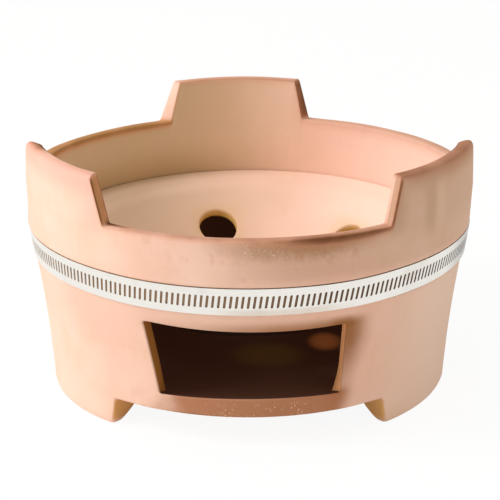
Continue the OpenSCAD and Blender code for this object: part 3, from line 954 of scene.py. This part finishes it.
def brushed_steel(name, along_scale, colour, rough, handled=False):
    """Rolled stainless sheet: fine lines along the strip, dull spots and a little tarnish.

    handled adds the strip's dull patches, at its right side and on its lower edge over the door.
    """
    steel = Finish(name)
    turn = steel.turn()
    height = steel.axis("Z")
    lengthways = steel.node("CombineXYZ", {}, {"X": turn * along_scale, "Y": height * 6.0, "Z": 0.0})
    lines = steel.noise(1.0, 3, 0.7, lengthways)
    stain = steel.noise(70, 3, 0.6)
    spots = steel.noise(420, 2, 0.6)
    tint = steel.mix(lines.ramp(0.3, 0.7) * 0.35, colour, tone(206, 203, 198))
    tint = steel.mix(stain.ramp(0.52, 0.8) * 0.3, tint, tone(196, 186, 172))
    if handled:
        tint = steel.mix(turn.ramp(1.0, 1.3) * turn.ramp(2.0, 1.7) * 0.5, tint, tone(116, 112, 106))
        over_door = turn.ramp(-0.2, 0.0) * turn.ramp(0.5, 0.25) * height.ramp(85, 82)
        tint = steel.mix(over_door * 0.45, tint, tone(206, 182, 160))
    steel.shade(Base_Color=tint, Metallic=1.0,
                Roughness=rough + lines.ramp(0.2, 0.8) * 0.12 + spots.ramp(0.6, 0.8) * 0.1,
                Normal=steel.bumps(lines * 0.7 + spots * 0.3, 0.12, 0.0002))
    return steel


strip_half = 7.9
strip_t = 0.7
strip_lay = 0.1
strip_off = 0.8
slot_count = 254
slot_half_w = 0.725
slot_half_l = 3.7
slot_lean = math.tan(math.radians(7.5))
tile_corners = 12
corner_turn = math.pi / tile_corners
strip_r = on_seat(strip_lay + strip_t / 2, 0)[0]
pitch = math.tau * strip_r / slot_count

strip = bmesh.new()
outline = bmesh.ops.create_circle(strip, segments=tile_corners, radius=1)["verts"]
opening = bmesh.ops.create_circle(strip, segments=tile_corners, radius=slot_half_w)["verts"]
bmesh.ops.rotate(strip, verts=outline + opening, matrix=Matrix.Rotation(corner_turn, 3, "Z"))
for vert in outline:
    vert.co.x = math.copysign(pitch / 2, vert.co.x)
    vert.co.y *= strip_half / math.cos(corner_turn)
for vert in opening:
    vert.co.y += math.copysign(slot_half_l - slot_half_w, vert.co.y)
bmesh.ops.bridge_loops(strip, edges=strip.edges)
for vert in strip.verts:
    r, z = on_seat(strip_lay, vert.co.y)
    vert.co = polar(r, math.degrees((vert.co.x + vert.co.y * slot_lean) / strip_r), z)
bmesh.ops.spin(strip, geom=strip.verts[:] + strip.edges[:] + strip.faces[:], cent=(0, 0, 0),
               axis=(0, 0, 1), angle=math.tau * (slot_count - 1) / slot_count,
               steps=slot_count - 1, use_duplicate=True)
bmesh.ops.remove_doubles(strip, verts=strip.verts, dist=0.01)
bmesh.ops.recalc_face_normals(strip, faces=strip.faces)

# The sheet faces the clay before it gets its thickness, which then grows outwards
first_face = strip.faces[:][0]
if first_face.normal.dot(first_face.calc_center_median()) > 0:
    bmesh.ops.reverse_faces(strip, faces=strip.faces)
bmesh.ops.solidify(strip, geom=strip.faces[:], thickness=strip_t)
for vert in strip.verts:
    azimuth_here = math.degrees(math.atan2(vert.co.x, -vert.co.y))
    vert.co.z += strip_rise(azimuth_here, vert.co.z)
    stands_off = strip_off * soft_step(azimuth_here, 60, 80) * soft_step(azimuth_here, 118, 98)
    vert.co += Vector((vert.co.x, vert.co.y, 0)).normalized() * stands_off
bmesh.ops.scale(strip, vec=(MM, MM, MM), verts=strip.verts)
for face in strip.faces:
    face.smooth = True
for edge in strip.edges:
    edge.smooth = edge.calc_face_angle(0) < math.radians(40)
clamp_strip = finished("clamp_strip", strip)


def rounded_copy(name, radius):
    """The CAD piece with its sharp edges broken, as pressed and turned steel has them."""
    made = bmesh.new()
    made.from_mesh(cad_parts[name].data)
    made.transform(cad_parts[name].matrix_world)
    bmesh.ops.remove_doubles(made, verts=made.verts, dist=0.000002)
    bmesh.ops.recalc_face_normals(made, faces=made.faces)
    for face in made.faces:
        face.smooth = True
    for edge in made.edges:
        edge.smooth = edge.calc_face_angle(0) < math.radians(28)
    piece = finished(name + "_rounded", made)
    rounding = piece.modifiers.new("rounding", "BEVEL")
    rounding.width = radius * MM
    rounding.segments = 2
    rounding.limit_method = "ANGLE"
    rounding.angle_limit = math.radians(40)
    return piece


strip_tail = rounded_copy("band_tail", 0.12)
strip_steel = brushed_steel("strip_stainless", 9.0, tone(246, 243, 236), 0.3, handled=True)
strip_steel.dress(clamp_strip, strip_tail)
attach(clamp_strip, "stove")
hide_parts("hoop_band")
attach(strip_tail, "tail")
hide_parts("band_tail")

# ---- Saddle and housing ----------------------------------------
# A curved plate is spot-welded to the first turn, and the pressed housing is crimped to it; the
# two hold the worm down on the strip.

saddle = rounded_copy("housing_saddle", 0.15)
housing = rounded_copy("screw_housing", 0.25)
housing_steel = brushed_steel("housing_stainless", 5.0, tone(226, 224, 220), 0.32)
housing_steel.dress(saddle, housing)
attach(saddle, "stove")
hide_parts("housing_saddle")
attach(housing, "stove")
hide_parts("screw_housing")

# ---- Worm screw ------------------------------------------------
# Turned steel worm with a slotted hexagonal head, plated a little darker than the strip. It is
# held in the two ends of the housing, and its thread bites in the slots of the free end.

worm = rounded_copy("worm_screw", 0.12)
screw_steel = brushed_steel("screw_plated_steel", 30.0, tone(196, 194, 190), 0.3)
screw_steel.dress(worm)
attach(worm, "screw")
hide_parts("worm_screw")

# ---- Table, backdrop and light ---------------------------------
# A white paper sweep and a pale room that fills the shade, with one large soft lamp high on the
# left. Paper and room show white to the camera and in metal, and light the stove less.

sweep_half = 3.0
sweep = bmesh.new()
bmesh.ops.create_grid(sweep, x_segments=1, y_segments=1, size=sweep_half)
floor_paper = finished("paper_sweep", sweep)
paper = Finish("white_paper")
paper_fleck = paper.noise(90, 2)
paper.shade(Base_Color=paper.mix(paper_fleck, tone(244, 243, 241), tone(247, 246, 244)), Roughness=0.95,
            Specular_IOR_Level=0.1)


def looked_at(finish):
    """1 where the camera, metal or glass looks, and 0 for the light that falls on other things."""
    kinds = ("Is Camera Ray", "Is Glossy Ray", "Is Transmission Ray")
    camera_ray, metal_ray, glass_ray = (finish.node("LightPath", {}, {}, kind) for kind in kinds)
    return finish.maths("MAXIMUM", finish.maths("MAXIMUM", camera_ray, metal_ray), glass_ray)


paper_white = paper.node("Emission", {}, {"Color": (1, 1, 1), "Strength": 1.02})
lit_paper = Wire(paper, paper.surface.outputs[0])
blend = paper.node("MixShader", {}, {0: looked_at(paper) * 0.9, 1: lit_paper, 2: paper_white})
paper.give(paper.nodes["Material Output"].inputs["Surface"], blend)
paper.dress(floor_paper)


class Room(Finish):
    """The room round the table; its nodes are added as those of a finish are."""

    def __init__(self, name):
        world = bpy.data.worlds.new(name)
        world.use_nodes = True
        self.nodes = world.node_tree.nodes
        self.links = world.node_tree.links
        bpy.context.scene.world = world


fill_colour = (0.985, 0.97, 0.905)
fill_level = 0.66
white_level = 1.0
room = Room("pale_room")
fill = room.nodes["Background"]
room.give(fill.inputs["Color"], fill_colour)
room.give(fill.inputs["Strength"], fill_level)
white = room.node("Background", {}, {"Color": (1, 1, 1), "Strength": white_level})
pale = room.node("MixShader", {}, {0: looked_at(room), 1: Wire(room, fill.outputs[0]), 2: white})
room.give(room.nodes["World Output"].inputs["Surface"], pale)

lamp_data = bpy.data.lights.new("window_left", "AREA")
lamp_data.shape = "DISK"
lamp_data.size = 0.9
lamp_data.energy = 25.0
lamp_data.color = (0.94, 0.935, 0.995)
lamp = bpy.data.objects.new("window_left", lamp_data)
bpy.context.scene.collection.objects.link(lamp)
lamp_place = Vector((-1.50, -0.32, 1.26))
lamp_aim = Vector((0, 0, 0.07))
lamp_turn = (lamp_aim - lamp_place).to_track_quat("-Z", "Y").to_matrix().to_4x4()
lamp.matrix_world = Matrix.Translation(lamp_place) @ lamp_turn

# ---- Camera ----------------------------------------------------
# Where the photograph was taken from: a long lens, about a metre in front of the stove and a
# little above it, looking down on the rim.

camera_place = (0.00072, -1.00564, 0.42094)
camera_tilt = 19.08
camera_roll = -0.11
camera_data = bpy.data.cameras.new("photo_camera")
camera_data.sensor_width = 36
camera_data.lens = 128.09
camera = bpy.data.objects.new("photo_camera", camera_data)
bpy.context.scene.collection.objects.link(camera)
camera.matrix_world = (Matrix.Translation(camera_place)
                       @ Matrix.Rotation(math.radians(90 - camera_tilt), 4, "X")
                       @ Matrix.Rotation(math.radians(camera_roll), 4, "Z"))
bpy.context.scene.camera = camera
bpy.context.scene.view_settings.view_transform = "Standard"
